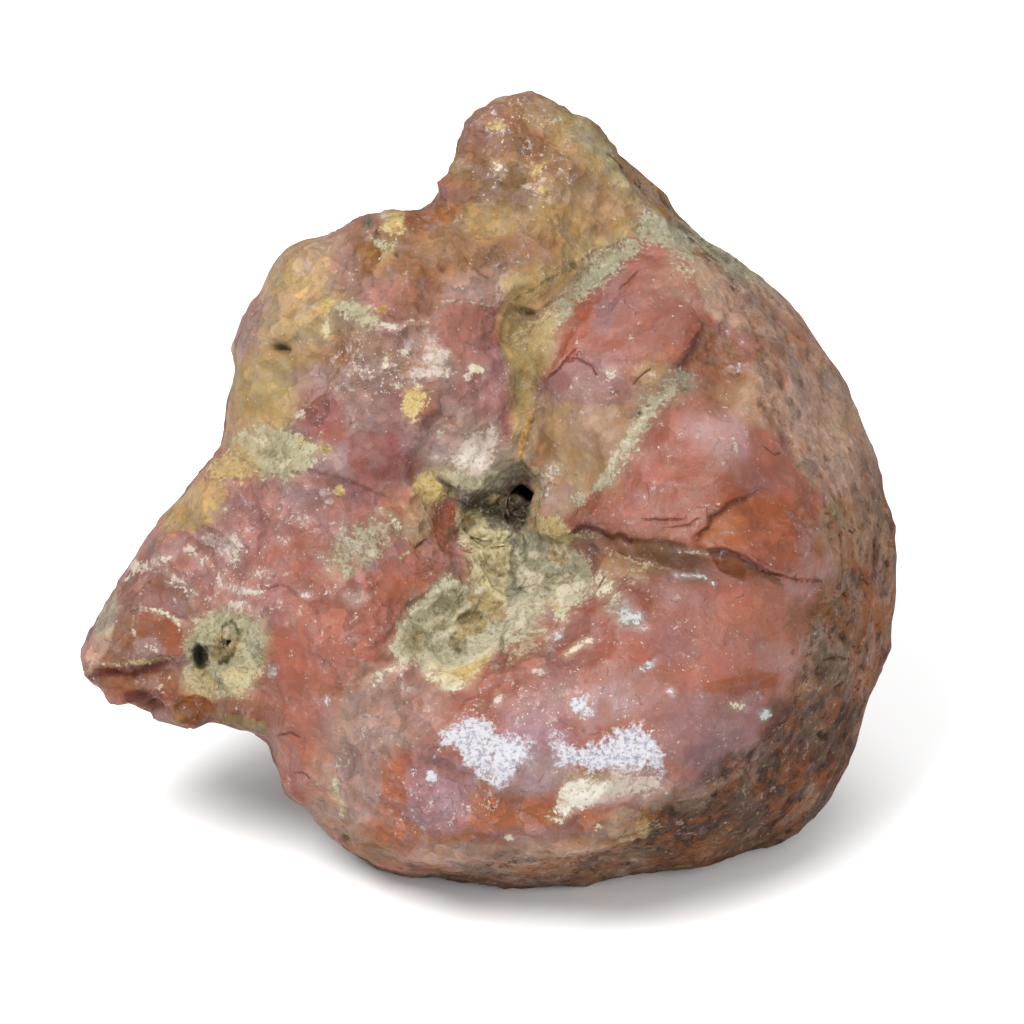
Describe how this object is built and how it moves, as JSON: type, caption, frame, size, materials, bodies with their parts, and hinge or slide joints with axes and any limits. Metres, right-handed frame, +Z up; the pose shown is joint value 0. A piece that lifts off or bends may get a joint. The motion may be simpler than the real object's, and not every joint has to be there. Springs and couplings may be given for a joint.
{
  "type": "rough red jasper boulder",
  "caption": "Weathered jasper nodule with one broken, polished-looking face, small crusted hollows, a stepped ledge and a flat underside to rest on.",
  "frame": {"origin": "bottom centre of the stone's bounding box, on the resting face", "axes": "+Z up, +X to the right when looking at the broken face, +Y away from the viewer, into the weathered back"},
  "size_m": [0.2054, 0.1458, 0.1747],
  "materials": {
    "jasper": "waxy"
  },
  "bodies": {
    "root": {"red_jasper": "jasper"}
  },
  "joints": []
}
